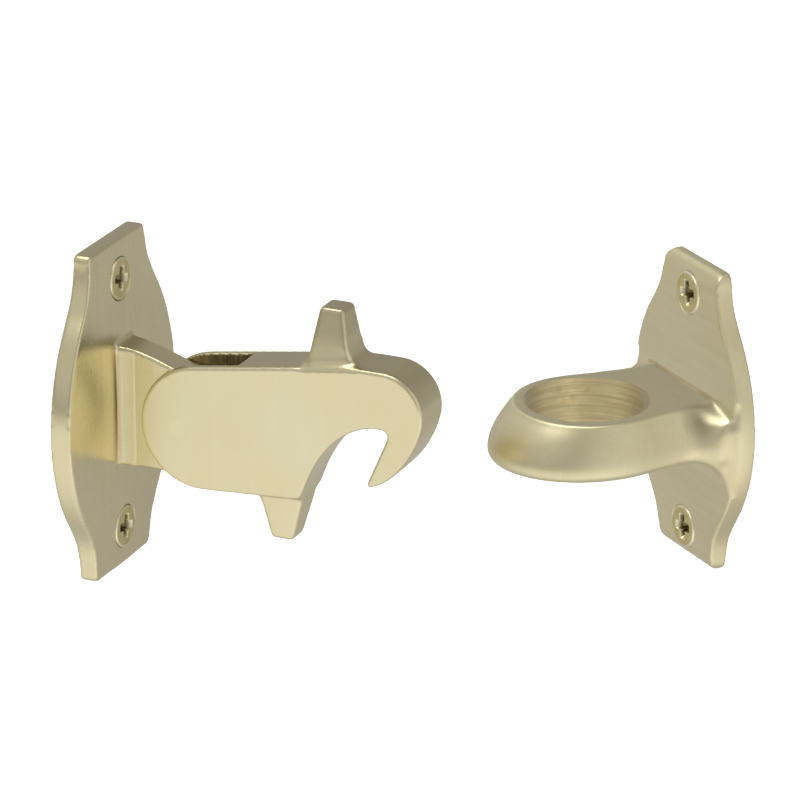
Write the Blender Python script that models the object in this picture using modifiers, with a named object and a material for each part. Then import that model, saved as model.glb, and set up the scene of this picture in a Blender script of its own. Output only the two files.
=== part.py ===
"""Wall-mounted door and shutter holdback: hook unit and ring keeper, in satin brass.

Frame: origin at the centre of the wall plate's back face, +X out of the wall along the
hook, +Z up. The keeper stands apart from the hook, turned about the vertical leaf axis.
Named sizes are in millimetres; mesh coordinates are in metres.
"""
from math import cos, radians, sin, sqrt, tan

import bmesh
import bpy
from mathutils import Matrix, Vector

MM = 0.001
GAP = 0.3                     # clearance between neighbouring pieces
CROWN_BLOCK_ASPECT = 0.8      # half width over half height of the block that crowns a plate

# Flat-head screws, no. 8
HEAD_D = 8.4
HEAD_RIM = 0.5                # straight rim under the flat of the head
HEAD_H = 3.2
SHANK_D = 4.2
ROOT_D = 3.0
SCREW_LENGTH = 9.5
THREAD_PITCH = 1.7
RECESS_SPAN = 4.8
RECESS_WIDTH = 1.3
RECESS_DEPTH = 1.7

# Wall plate with its tongue
WALL = dict(height=66.8, end_half=11.8, mid_half=22.9, end_t=3.6, crown=1.1,
            side_drop=0.5, corner=1.2, screw_z=25.6, bulge_r=35.0)
TONGUE_ROOT_HALF = 4.0
TONGUE_HALF = 3.25
TONGUE_TOP = 13.3
TONGUE_BOTTOM = -11.4
TONGUE_END_R = 10.9

# Hook arm
PIN_X, PIN_Z = 18.3, -1.3
PIN_D = 4.0
ARM_HALF = 5.2
SLOT_HALF = 3.55
SLOT_END_X = 30.5
HEEL_X, HEEL_Z, HEEL_R = 22.9, -0.7, 12.5
NOSE_X, NOSE_Z, NOSE_R = 60.7, 7.8, 8.5
THROAT_CORNER_R = 1.3
HORN_HALF_BASE, HORN_HALF_TIP = 4.8, 2.8
LEG_HALF_BASE, LEG_HALF_TIP = 4.4, 2.6

# Keeper: plate, neck and ring
KEEPER = dict(height=61.0, end_half=10.2, mid_half=20.2, end_t=3.5, crown=1.0,
              side_drop=0.5, corner=2.0, screw_z=24.2, bulge_r=32.0)
RING_X = 25.7                 # ring axis from the back of the keeper's plate
HOLE_R = 12.25
RING_TOP = 5.9
RING_RIM = (14.6, 14.4, 12.9)     # at the top: front reach, half width, neck's half width
RING_FOOT = (19.6, 17.1, 15.6)    # the same at the foot
RING_FOOT_Z = -3.1
RING_EDGE_R = 1.8
FLARE_R = 7.5
FLARE_START = 8.8             # in front of the keeper's face
FLARE_LIMIT = 18.6
GUSSET_R = 6.0

# Where the keeper stands, and the upright axis that its leaf swings about
KEEPER_YAW = 50.4
KEEPER_AT = (106.1, 47.1, -1.7)
KEEPER_CLOSED_X = 117.0       # back of the keeper, squared up in front of the hook


def metres(*values):
    return tuple(v * MM for v in values)


def brass(name, colour, roughness):
    mat = bpy.data.materials.new(name)
    mat.use_nodes = True
    shader = mat.node_tree.nodes["Principled BSDF"]
    shader.inputs["Base Color"].default_value = (*colour, 1.0)
    shader.inputs["Metallic"].default_value = 1.0
    shader.inputs["Roughness"].default_value = roughness
    return mat


def clear_scene():
    for obj in list(bpy.data.objects):
        bpy.data.objects.remove(obj)


def new_collection(name):
    coll = bpy.data.collections.new(name)
    bpy.context.scene.collection.children.link(coll)
    return coll


# ---------------------------------------------------------------- outlines

def arc(cx, cz, radius, start, end, steps):
    """Points on a circle from start to end, both in degrees."""
    turn = [radians(start + (end - start) * i / steps) for i in range(steps + 1)]
    return [(cx + radius * cos(a), cz + radius * sin(a)) for a in turn]


def bezier(p0, p1, p2, p3, steps):
    pts = []
    for i in range(steps + 1):
        t = i / steps
        k = ((1 - t) ** 3, 3 * t * (1 - t) ** 2, 3 * t * t * (1 - t), t ** 3)
        pts.append(tuple(sum(w * p[axis] for w, p in zip(k, (p0, p1, p2, p3))) for axis in (0, 1)))
    return pts


def plate_quarter(size, steps=9):
    """Side of a plate from mid-height up to its end corner, as (y, z) with y > 0.

    A bulging arc about the middle runs through one reversed curve into the rounded corner."""
    half, top = size["mid_half"], size["height"] / 2
    turn = 31.0
    bulge = arc(half - size["bulge_r"], 0.0, size["bulge_r"], 0.0, turn, steps)
    y1, z1 = bulge[-1]
    lead = 0.36 * (top - z1)
    slope = (-sin(radians(turn)), cos(radians(turn)))
    end, corner = size["end_half"], size["corner"]
    reverse = bezier((y1, z1), (y1 + lead * slope[0], z1 + lead * slope[1]),
                     (end + 0.6, top - 1.6 * lead), (end, top - corner), steps)
    return bulge + reverse[1:] + arc(end - corner, top - corner, corner, 0.0, 90.0, 4)[1:]


def plate_outline(size):
    quarter = plate_quarter(size)
    upper = quarter + [(-y, z) for y, z in reversed(quarter)]
    lower = [(-y, -z) for y, z in quarter[1:]] + [(y, -z) for y, z in reversed(quarter[1:])]
    return upper + lower


def face_height(size, y, z):
    """Thickness of a plate at (y, z): crowned along its height, falling off to both sides."""
    along = size["crown"] * (1 - (2 * z / size["height"]) ** 2)
    return size["end_t"] + along - size["side_drop"] * (y / size["mid_half"]) ** 2


def tongue_outline():
    """Side view of the tongue, as (x, z): convex top, straight bottom, square lower stop."""
    stop_x = SLOT_END_X - GAP
    end = arc(PIN_X, PIN_Z, TONGUE_END_R, 92.0, -18.0, 12)
    top = bezier((0.0, TONGUE_TOP), (8.0, TONGUE_TOP + 0.5), (14.0, TONGUE_TOP - 2.4), end[0], 8)
    return ([(0.0, TONGUE_BOTTOM)] + top + end[1:]
            + [(stop_x, PIN_Z - 4.6), (stop_x, TONGUE_BOTTOM + 1.0), (stop_x - 1.0, TONGUE_BOTTOM)])


def tongue_plan():
    """Half plan of the tongue, as (x, y): broad root narrowing to the slot's width."""
    face = WALL["end_t"] + WALL["crown"]
    neck = bezier((face - 0.3, TONGUE_ROOT_HALF), (face + 1.2, TONGUE_ROOT_HALF - 0.4),
                  (face + 2.4, TONGUE_HALF + 0.1), (face + 4.4, TONGUE_HALF), 7)
    half = [(0.0, TONGUE_ROOT_HALF)] + neck + [(SLOT_END_X + 2.0, TONGUE_HALF)]
    return half + [(x, -y) for x, y in reversed(half)]


def arm_outline():
    """Side view of the arm without horn and leg, as (x, z), clockwise from the heel's top."""
    heel_top, heel_bottom = 98.0, 272.0
    heel = arc(HEEL_X, HEEL_Z, HEEL_R, heel_bottom, heel_top, 18)
    nose = arc(NOSE_X, NOSE_Z, NOSE_R, 84.0, -12.0, 12)
    tip_top = (57.8, -6.6)
    tip = (58.0, -7.4)
    beak = bezier(nose[-1], (68.2, 2.1), (64.5, -5.7), tip, 9)
    corner = arc(60.7, 3.4, THROAT_CORNER_R, -18.0, 92.0, 6)
    throat = bezier(corner[-1], (53.5, 5.0), (47.0, -1.7), (43.9, -12.1), 12)
    return heel + [(44.8, 15.1), (54.4, 16.4)] + nose + beak[1:] + [tip_top] + corner + throat[1:]


def ring_levels():
    """Widening of the ring and neck from the top face down, as (share of the foot, inset, z)."""
    wall = bezier((0.0, RING_TOP), (0.5, RING_TOP - 3.0), (1.0, RING_FOOT_Z + 3.4),
                  (1.0, RING_FOOT_Z), 6)
    edge = arc(-RING_EDGE_R, RING_FOOT_Z, RING_EDGE_R, 0.0, -90.0, 4)
    return [(share, 0.0, z) for share, z in wall] + [(1.0, -inset, z) for inset, z in edge[1:]]


def flare(dist):
    """How far the neck has spread at a distance in front of the plate's face."""
    reach = min(max(FLARE_START - dist, 0.0), FLARE_R)
    return FLARE_R - sqrt(FLARE_R ** 2 - reach ** 2)


def ring_outline(share, inset):
    """Plan of ring and neck at one level: half ellipse, slightly waisted neck, flare.

    The flare grows from nothing at the top face to its full reach at half the widening."""
    spread = min(1.0, 2.0 * share)
    front, side, neck = (a + (b - a) * share - inset for a, b in zip(RING_RIM, RING_FOOT))
    face = KEEPER["end_t"] + KEEPER["crown"]
    run = RING_X - face
    flank = [(face - 2.0, neck + (FLARE_LIMIT - inset - neck) * spread)]
    for dist in (1.8, 2.5, 3.2, 4.2, 5.5, 7.0, FLARE_START, 11.5, 14.5, 18.0):
        ease = max(0.0, (dist - FLARE_START) / (run - FLARE_START))
        half = neck + (side - neck) * ease * ease * (3 - 2 * ease)
        flank.append((face + dist, min(half + spread * flare(dist), FLARE_LIMIT - inset)))
    turn = [radians(90.0 - 180.0 * i / 36) for i in range(37)]
    nose = [(RING_X + front * cos(a), side * sin(a)) for a in turn]
    return flank + nose + [(x, -y) for x, y in reversed(flank)]


# ---------------------------------------------------------------- solids

class Builder:
    """Makes the pieces and their cutters, and puts each in its collection."""

    def __init__(self):
        self.parts = new_collection("shutter_holdback")
        self.cutters = new_collection("holdback_cutters")

    def mesh_object(self, name, mesh, material=None, parent=None):
        obj = bpy.data.objects.new(name, mesh)
        if material is None:
            self.cutters.objects.link(obj)
            obj.hide_render = True
            obj.display_type = "WIRE"
        else:
            self.parts.objects.link(obj)
            mesh.materials.clear()
            mesh.materials.append(material)
        obj.parent = parent
        return obj

    def prism(self, name, points, low, high, plane, material=None, parent=None):
        """A flat outline given in plane 'xy', 'xz' or 'yz', filled and extruded from low to high."""
        curve = bpy.data.curves.new(name, "CURVE")
        curve.dimensions = "2D"
        curve.fill_mode = "BOTH"
        curve.extrude = (high - low) / 2 * MM
        spline = curve.splines.new("POLY")
        spline.points.add(len(points) - 1)
        for point, (u, v) in zip(spline.points, points):
            point.co = (u * MM, v * MM, 0.0, 1.0)
        spline.use_cyclic_u = True
        turn = {"xy": Matrix.Identity(4),
                "xz": Matrix.Rotation(radians(90), 4, "X"),
                "yz": Matrix.Rotation(radians(90), 4, "Z") @ Matrix.Rotation(radians(90), 4, "X")}
        push = {"xy": (0, 0, 1), "xz": (0, 1, 0), "yz": (1, 0, 0)}
        shift = Vector(push[plane]) * ((high + low) / 2 * MM)
        source = bpy.data.objects.new(name + "_curve", curve)
        self.cutters.objects.link(source)
        source.matrix_world = Matrix.Translation(shift) @ turn[plane]
        mesh = mesh_of_curve(source, name)
        return self.mesh_object(name, mesh, material, parent)

    def cylinder(self, name, radius, low, high, axis="Z", sides=32, material=None, parent=None):
        mesh = bpy.data.meshes.new(name)
        bm = bmesh.new()
        bmesh.ops.create_cone(bm, cap_ends=True, segments=sides, radius1=radius * MM,
                              radius2=radius * MM, depth=(high - low) * MM)
        spin = {"Z": Matrix.Identity(4), "Y": Matrix.Rotation(radians(-90), 4, "X"),
                "X": Matrix.Rotation(radians(90), 4, "Y")}[axis]
        push = {"Z": (0, 0, 1), "Y": (0, 1, 0), "X": (1, 0, 0)}[axis]
        middle = Vector(push) * ((high + low) / 2 * MM)
        bmesh.ops.transform(bm, verts=bm.verts, matrix=Matrix.Translation(middle) @ spin)
        bm.to_mesh(mesh)
        bm.free()
        smooth(mesh)
        return self.mesh_object(name, mesh, material, parent)

    def turned(self, name, profile, sides, material=None, parent=None):
        """A profile of (radius, height) points, top to bottom, turned about local Z."""
        mesh = bpy.data.meshes.new(name)
        verts = [(r * MM, 0.0, h * MM) for r, h in profile]
        mesh.from_pydata(verts, [(i, i + 1) for i in range(len(verts) - 1)], [])
        obj = self.mesh_object(name, mesh, material, parent)
        screw = obj.modifiers.new("turn", "SCREW")
        screw.steps = sides
        screw.render_steps = sides
        screw.use_merge_vertices = True
        screw.merge_threshold = 0.00001
        return obj

    def stack(self, name, outlines, material=None, parent=None):
        """A closed solid through level outlines, each (z, points), all with equal counts."""
        mesh = bpy.data.meshes.new(name)
        bm = bmesh.new()
        rings = [[bm.verts.new(metres(x, y, z)) for x, y in pts] for z, pts in outlines]
        for upper, lower in zip(rings, rings[1:]):
            for i, vert in enumerate(upper):
                j = (i + 1) % len(upper)
                bm.faces.new((vert, lower[i], lower[j], upper[j]))
        bm.faces.new(rings[0])
        bm.faces.new(list(reversed(rings[-1])))
        bmesh.ops.recalc_face_normals(bm, faces=bm.faces)
        bm.to_mesh(mesh)
        bm.free()
        return self.mesh_object(name, mesh, material, parent)

    def empty(self, name, location, yaw=0.0, parent=None):
        obj = bpy.data.objects.new(name, None)
        self.parts.objects.link(obj)
        obj.parent = parent
        obj.location = metres(*location)
        obj.rotation_euler.z = radians(yaw)
        return obj


def mesh_of_curve(source, name):
    """The welded mesh of a filled curve, in world space; the curve is removed."""
    bpy.context.view_layer.update()
    graph = bpy.context.evaluated_depsgraph_get()
    mesh = bpy.data.meshes.new_from_object(source.evaluated_get(graph))
    mesh.name = name
    bm = bmesh.new()
    bm.from_mesh(mesh)
    bmesh.ops.remove_doubles(bm, verts=bm.verts, dist=0.000001)
    bmesh.ops.transform(bm, verts=bm.verts, matrix=source.matrix_world)
    bmesh.ops.recalc_face_normals(bm, faces=bm.faces)
    bm.to_mesh(mesh)
    bm.free()
    bpy.data.objects.remove(source)
    return mesh


def smooth(mesh, angle=32.0):
    mesh.shade_smooth()
    mesh.set_sharp_from_angle(angle=radians(angle))


def boolean(obj, other, operation):
    mod = obj.modifiers.new(operation.lower(), "BOOLEAN")
    mod.operation = operation
    mod.solver = "EXACT"
    mod.object = other


def screw_seat(build, name, size, z, parent):
    """Cutter for one countersunk screw hole, its axis along X through the crowned face."""
    face = face_height(size, 0.0, z)
    head, shank = HEAD_D / 2 + GAP, SHANK_D / 2 + GAP
    depth = HEAD_RIM + HEAD_H + GAP
    profile = [(0.0, face + 2.0), (head, face + 2.0), (head, face - HEAD_RIM),
               (shank, face - depth), (shank, -1.0), (0.0, -1.0)]
    cutter = build.turned(name, profile, 32, parent=parent)
    cutter.location = metres(0.0, 0.0, z)
    cutter.rotation_euler.y = radians(90)
    return cutter


def crown_block(build, name, size, parent=None):
    """Block with a flat back and a doubly crowned front, wider and taller than its plate."""
    half = size["height"] / 2 + 1.0
    bm = bmesh.new()
    bmesh.ops.create_grid(bm, x_segments=14, y_segments=20, size=half * MM)
    front = bm.faces[:]
    for vert in bm.verts:
        y, z = vert.co.x * CROWN_BLOCK_ASPECT / MM, vert.co.y / MM
        vert.co = metres(face_height(size, y, z), y, z)
    made = bmesh.ops.extrude_face_region(bm, geom=front)
    for item in made["geom"]:
        if isinstance(item, bmesh.types.BMVert):
            item.co.x = 0.0
    bmesh.ops.recalc_face_normals(bm, faces=bm.faces)
    mesh = bpy.data.meshes.new(name)
    bm.to_mesh(mesh)
    bm.free()
    return build.mesh_object(name, mesh, parent=parent)


def frustum(build, name, base, tip, base_half, tip_half):
    """A drafted block through two four-cornered sections, corners (x, z) in ring order."""
    mesh = bpy.data.meshes.new(name)
    bm = bmesh.new()
    near = [bm.verts.new(metres(x, -h, z)) for h, pts in ((base_half, base), (tip_half, tip))
            for x, z in pts]
    far = [bm.verts.new((v.co.x, -v.co.y, v.co.z)) for v in near]
    bl, br, tl, tr = range(4)
    for face in ((near[bl], near[br], near[tr], near[tl]), (far[br], far[bl], far[tl], far[tr]),
                 (near[tl], near[tr], far[tr], far[tl]), (near[br], near[bl], far[bl], far[br]),
                 (near[bl], near[tl], far[tl], far[bl]), (near[tr], near[br], far[br], far[tr])):
        bm.faces.new(face)
    bmesh.ops.recalc_face_normals(bm, faces=bm.faces)
    upright = [e for e in bm.edges if abs(e.verts[0].co.y - e.verts[1].co.y) > 0.004
               and e.verts[0] in (near[tl], near[tr], far[tl], far[tr])]
    bmesh.ops.bevel(bm, geom=upright, offset=1.3 * MM, segments=3, affect="EDGES", profile=0.5)
    bm.to_mesh(mesh)
    bm.free()
    return build.mesh_object(name, mesh)


# ---------------------------------------------------------------- pieces

def make_wall_plate(build, material):
    """Crowned plate with the pivot tongue cast on it, drilled for the pin and two screws."""
    plate = build.prism("wall_plate", plate_outline(WALL), 0.0, 8.0, "yz", material)
    boolean(plate, crown_block(build, "wall_crown", WALL), "INTERSECT")
    tongue = build.prism("tongue_side", tongue_outline(), -8.0, 8.0, "xz")
    boolean(tongue, build.prism("tongue_plan", tongue_plan(), -20.0, 20.0, "xy"), "INTERSECT")
    boolean(plate, tongue, "UNION")
    bore = build.cylinder("tongue_bore", PIN_D / 2 + GAP, -9.0, 9.0, "Y")
    bore.location = metres(PIN_X, 0.0, PIN_Z)
    boolean(plate, bore, "DIFFERENCE")
    for side, z in (("upper", WALL["screw_z"]), ("lower", -WALL["screw_z"])):
        boolean(plate, screw_seat(build, "wall_seat_" + side, WALL, z, None), "DIFFERENCE")
    return plate


def make_hook_arm(build, material, pivot):
    """Forked arm with its beak, finger horn on top and leg below."""
    to_pivot = Matrix.Translation(metres(-PIN_X, 0.0, -PIN_Z))
    arm = build.prism("hook_arm", arm_outline(), -ARM_HALF, ARM_HALF, "xz", material, pivot)
    arm.data.transform(to_pivot)
    horn = frustum(build, "horn_block", ((44.5, 13.0), (54.4, 13.0)), ((47.2, 26.8), (52.1, 26.8)),
                   HORN_HALF_BASE, HORN_HALF_TIP)
    leg = frustum(build, "leg_block", ((44.3, -10.0), (34.0, -10.0)), ((41.2, -21.9), (36.6, -21.9)),
                  LEG_HALF_BASE, LEG_HALF_TIP)
    slot = build.prism("fork_slot", ((-2.0, -20.0), (SLOT_END_X, -20.0), (SLOT_END_X, 20.0),
                                     (-2.0, 20.0)), -SLOT_HALF, SLOT_HALF, "xz")
    bore = build.cylinder("arm_bore", PIN_D / 2 + GAP, -9.0, 9.0, "Y")
    bore.location = metres(PIN_X, 0.0, PIN_Z)
    boolean(arm, horn, "UNION")
    boolean(arm, leg, "UNION")
    boolean(arm, slot, "DIFFERENCE")
    boolean(arm, bore, "DIFFERENCE")
    return arm


def make_pivot_pin(build, material, pivot):
    return build.cylinder("pivot_pin", PIN_D / 2, -ARM_HALF, ARM_HALF, "Y", 32, material, pivot)


def make_keeper(build, material, frame):
    """Plate, flared neck and ring in one casting, with the round hole for the beak."""
    plate = build.prism("keeper", plate_outline(KEEPER), 0.0, 8.0, "yz", material, frame)
    crown = crown_block(build, "keeper_crown", KEEPER, frame)
    levels = [(z, ring_outline(share, inset)) for share, inset, z in ring_levels()]
    ring = build.stack("ring_body", levels, parent=frame)
    face = KEEPER["end_t"] + KEEPER["crown"]
    under = RING_FOOT_Z - RING_EDGE_R
    gusset = [(face - 2.0, under + 1.0), (face - 2.0, under - GUSSET_R)]
    gusset += arc(face + GUSSET_R, under - GUSSET_R, GUSSET_R, 180.0, 90.0, 6)
    gusset.append((face + GUSSET_R, under + 1.0))
    web = build.prism("under_web", gusset, -30.0, 30.0, "xz", parent=frame)
    web_plan = build.prism("web_plan", ring_outline(1.0, 1.2), -20.0, 20.0, "xy",
                           parent=frame)
    boolean(web, web_plan, "INTERSECT")
    hole = build.cylinder("ring_hole", HOLE_R, -20.0, 20.0, "Z", 64, parent=frame)
    hole.location = metres(RING_X, 0.0, 0.0)
    boolean(plate, crown, "INTERSECT")
    boolean(plate, ring, "UNION")
    boolean(plate, web, "UNION")
    boolean(plate, hole, "DIFFERENCE")
    for side, z in (("upper", KEEPER["screw_z"]), ("lower", -KEEPER["screw_z"])):
        boolean(plate, screw_seat(build, "keeper_seat_" + side, KEEPER, z, frame), "DIFFERENCE")
    return plate


def make_screw(build, name, material, size, z, frame):
    """Flat-head wood screw: turned head, shank and ridged thread, cross recess, sharp point."""
    face = face_height(size, 0.0, z)
    head, shank, root = HEAD_D / 2, SHANK_D / 2, ROOT_D / 2
    neck = -HEAD_RIM - HEAD_H
    profile = [(0.0, 0.0), (head, 0.0), (head, -HEAD_RIM), (shank, neck)]
    crest = neck - 0.4
    while crest - THREAD_PITCH > -SCREW_LENGTH + 1.2:
        profile += [(shank, crest), (root, crest - 0.5), (root, crest - THREAD_PITCH + 0.5)]
        crest -= THREAD_PITCH
        profile.append((shank - 0.1, crest))
    profile += [(root, crest - 0.5), (0.0, -SCREW_LENGTH)]
    screw = build.turned(name, profile, 24, material, frame)
    arms = []
    for label, turn in (("a", 0.0), ("b", 90.0)):
        arm = build.prism(name + "_recess_" + label,
                          ((-RECESS_SPAN / 2, 0.5), (-RECESS_SPAN / 2 + 0.9, -RECESS_DEPTH),
                           (RECESS_SPAN / 2 - 0.9, -RECESS_DEPTH), (RECESS_SPAN / 2, 0.5)),
                          -RECESS_WIDTH / 2, RECESS_WIDTH / 2, "xz", parent=screw)
        arm.rotation_euler.z = radians(turn)
        arms.append(arm)
    for arm in arms:
        boolean(screw, arm, "DIFFERENCE")
    screw.location = metres(face, 0.0, z)
    screw.rotation_euler.y = radians(90)
    return screw


def leaf_axis():
    """The upright axis that carries the keeper from where it stands to facing the hook."""
    start, end = Vector(KEEPER_AT[:2]), Vector((KEEPER_CLOSED_X, 0.0))
    chord = end - start
    reach = chord.length / 2 / tan(radians(KEEPER_YAW) / 2)
    across = Vector((chord.y, -chord.x)).normalized()
    return (start + end) / 2 + across * reach


def main():
    clear_scene()
    build = Builder()
    plate_brass = brass("satin_brass_plate", (0.62, 0.55, 0.37), 0.34)
    arm_brass = brass("satin_brass_arm", (0.68, 0.61, 0.42), 0.32)
    keeper_brass = brass("satin_brass_keeper", (0.62, 0.55, 0.37), 0.34)
    pin_brass = brass("ground_pin_brass", (0.70, 0.62, 0.41), 0.30)
    screw_brass = brass("screw_brass", (0.58, 0.48, 0.25), 0.38)

    make_wall_plate(build, plate_brass)
    pivot = build.empty("hook_pivot", (PIN_X, 0.0, PIN_Z))
    make_hook_arm(build, arm_brass, pivot)
    make_pivot_pin(build, pin_brass, pivot)

    axis = leaf_axis()
    leaf = build.empty("leaf_axis", (axis.x, axis.y, KEEPER_AT[2]))
    stand = (KEEPER_AT[0] - axis.x, KEEPER_AT[1] - axis.y, 0.0)
    keeper_frame = build.empty("keeper_frame", stand, 180.0 + KEEPER_YAW, leaf)
    make_keeper(build, keeper_brass, keeper_frame)

    for side, sign in (("upper", 1), ("lower", -1)):
        make_screw(build, "wall_screw_" + side, screw_brass, WALL, sign * WALL["screw_z"], None)
        make_screw(build, "leaf_screw_" + side, screw_brass, KEEPER, sign * KEEPER["screw_z"],
                   keeper_frame)


main()
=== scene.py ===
"""Look of the wall-mounted hook and ring keeper: cast brass, satin finished.

Shapes are rebuilt around the CAD frame with rounded casting edges, fillets, screw recesses and
machined surfaces. Meshes are built in millimetres and scaled to metres when they are finished.
Materials work on the finished meshes, so their lengths are multiplied by MM.
"""
from math import cos, pi, radians, sin, sqrt

import bmesh
import bpy
import numpy as np
from mathutils import Matrix, Vector


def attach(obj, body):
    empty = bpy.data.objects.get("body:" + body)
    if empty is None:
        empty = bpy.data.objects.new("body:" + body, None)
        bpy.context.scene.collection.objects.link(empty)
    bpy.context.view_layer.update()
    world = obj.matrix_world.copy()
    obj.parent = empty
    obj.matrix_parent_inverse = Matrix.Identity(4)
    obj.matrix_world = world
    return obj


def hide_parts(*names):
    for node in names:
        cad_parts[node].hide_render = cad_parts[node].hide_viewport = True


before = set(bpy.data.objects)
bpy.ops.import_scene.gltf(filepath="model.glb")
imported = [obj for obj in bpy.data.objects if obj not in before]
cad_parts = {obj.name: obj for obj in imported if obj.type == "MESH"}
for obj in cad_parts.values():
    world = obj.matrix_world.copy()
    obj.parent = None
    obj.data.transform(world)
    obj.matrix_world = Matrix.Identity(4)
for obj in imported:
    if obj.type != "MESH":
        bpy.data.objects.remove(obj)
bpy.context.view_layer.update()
MM = 0.001

# Camera and floor, in metres and degrees
CAMERA_AT = (0.4294, -0.8417, 0.3542)
CAMERA_TURN, CAMERA_PITCH = 23.55, 20.58
LENS = 234.0
FLOOR_Z = -0.16

# Blank that both plates are cut from
BLANK = 8.0

# Wall plate and tongue
WALL = dict(height=66.8, end_half=11.8, mid_half=22.9, end_t=3.6, crown=1.1,
            side_drop=0.5, corner=1.2, screw_z=25.6, bulge_r=35.0)
WALL_FACE = WALL["end_t"] + WALL["crown"]
TONGUE_ROOT_HALF, TONGUE_HALF = 4.0, 3.25
TONGUE_TOP, TONGUE_BOTTOM, TONGUE_END_R = 13.3, -11.4, 10.9

# Hook arm
GAP = 0.3
PIN_X, PIN_Z, PIN_D = 18.3, -1.3, 4.0
ARM_HALF, SLOT_HALF, SLOT_END_X = 5.2, 3.55, 30.5
HEEL_X, HEEL_Z, HEEL_R = 22.9, -0.7, 12.5
NOSE_X, NOSE_Z, NOSE_R = 60.7, 7.8, 8.5
THROAT_CORNER_R, THROAT_END = 1.3, (43.9, -12.1)
HORN_FOOT = ((44.8, 15.1), (54.4, 16.4))      # where the arm's top edge meets the horn's two ends
HORN_BASE, HORN_TIP = ((44.5, 13.0), (54.4, 13.0)), ((47.2, 26.8), (52.1, 26.8))
HORN_HALF_BASE, HORN_HALF_TIP = 4.8, 2.8
LEG_BASE, LEG_TIP = ((33.3, -7.0), (45.3, -7.0)), ((36.6, -21.9), (41.2, -21.9))
LEG_HALF_BASE, LEG_HALF_TIP = 4.4, 2.6
CASTING_EDGE = 0.45

# Keeper
KEEPER = dict(height=61.0, end_half=10.2, mid_half=20.2, end_t=3.5, crown=1.0,
              side_drop=0.5, corner=2.0, screw_z=24.2, bulge_r=32.0)
KEEPER_FACE = KEEPER["end_t"] + KEEPER["crown"]
RING_X, HOLE_R = 25.7, 12.25
RING_TOP = 5.9
RING_RIM = (14.6, 14.4, 12.9)
RING_FOOT = (19.6, 17.1, 15.6)
RING_FOOT_Z, RING_EDGE_R, RING_TOP_R = -3.1, 1.8, 0.4
FLARE_R, FLARE_START, FLARE_LIMIT = 7.5, 8.8, 18.9
GUSSET_R = 6.0
ROLLED_END_R = 2.7
KEEPER_YAW = 50.4
KEEPER_AT = (106.1, 47.1, -1.7)
KEEPER_PLACE = (Matrix.Translation(Vector(KEEPER_AT) * MM)
                @ Matrix.Rotation(radians(180.0 + KEEPER_YAW), 4, "Z"))

# Screws
HEAD_D, HEAD_RIM, HEAD_H, SHANK_D, ROOT_R = 8.4, 0.5, 3.2, 4.2, 1.5
HEAD_PROUD = 0.24
THREAD_CRESTS, SCREW_END = (-4.1, -5.8, -7.5), -9.45
RECESS_SPAN, RECESS_WIDTH = 5.1, 1.75

# Node, body, plate, side and turn in degrees of each screw, and where its plate stands
SCREWS = (
    ("wall_screw_upper", "wall_unit", WALL, 1, -12.0, Matrix.Identity(4)),
    ("wall_screw_lower", "wall_unit", WALL, -1, -10.0, Matrix.Identity(4)),
    ("leaf_screw_upper", "leaf_keeper", KEEPER, 1, 8.0, KEEPER_PLACE),
    ("leaf_screw_lower", "leaf_keeper", KEEPER, -1, 7.0, KEEPER_PLACE),
)

# Colours of bare metal (the bore's darkened as painted shade, the screw rim's lightened as a
# painted highlight), of the brown film in its seams, and of the painted shade in the screws' recesses
BRASS, PIN_BRASS = (0.80, 0.724, 0.472), (0.805, 0.732, 0.472)
SCREW_BRASS, RIM_HIGHLIGHT_BRASS, SHADED_BORE_BRASS = (0.76, 0.65, 0.315), (0.90, 0.84, 0.61), (0.54, 0.455, 0.25)
PATINA, RECESS_SHADE = (0.36, 0.24, 0.09), (0.13, 0.095, 0.03)

# Remeshing: voxel sizes, smoothing rounds over a fillet, and rounds over a whole casting
VOXEL, SCREW_VOXEL = 0.30, 0.085
FILLET_ROUNDS = 16
PLATE_ROUNDS, CASTING_ROUNDS = 6, 5
FLARE_ROUNDS = 70


# ---------------------------------------------------------------- outlines, in millimetres

def arc(cx, cz, radius, start, end, steps):
    """Points on a circle from start to end, both in degrees."""
    turn = [radians(start + (end - start) * i / steps) for i in range(steps + 1)]
    return [(cx + radius * cos(a), cz + radius * sin(a)) for a in turn]


def bezier(p0, p1, p2, p3, steps):
    """Points on a cubic curve from p0 to p3."""
    pts = []
    for i in range(steps + 1):
        t = i / steps
        k = ((1 - t) ** 3, 3 * t * (1 - t) ** 2, 3 * t * t * (1 - t), t ** 3)
        pts.append(tuple(sum(w * p[axis] for w, p in zip(k, (p0, p1, p2, p3))) for axis in (0, 1)))
    return pts


def plate_outline(size, steps=28):
    """Front view of a plate: a bulging side that runs through a reversed curve into each end."""
    half, top = size["mid_half"], size["height"] / 2
    turn = 31.0
    bulge = arc(half - size["bulge_r"], 0.0, size["bulge_r"], 0.0, turn, steps)
    y1, z1 = bulge[-1]
    lead = 0.36 * (top - z1)
    slope = (-sin(radians(turn)), cos(radians(turn)))
    end, corner = size["end_half"], size["corner"]
    reverse = bezier((y1, z1), (y1 + lead * slope[0], z1 + lead * slope[1]),
                     (end + 0.6, top - 1.6 * lead), (end, top - corner), steps)
    quarter = bulge + reverse[1:] + arc(end - corner, top - corner, corner, 0.0, 90.0, 10)[1:]
    upper = quarter + [(-y, z) for y, z in reversed(quarter)]
    lower = [(-y, -z) for y, z in quarter[1:]] + [(y, -z) for y, z in reversed(quarter[1:])]
    return upper + lower


def face_height(size, y, z):
    """Thickness of a plate at (y, z): crowned along its height, falling off to both sides."""
    along = size["crown"] * (1 - (2 * z / size["height"]) ** 2)
    return size["end_t"] + along - size["side_drop"] * (y / size["mid_half"]) ** 2


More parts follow.
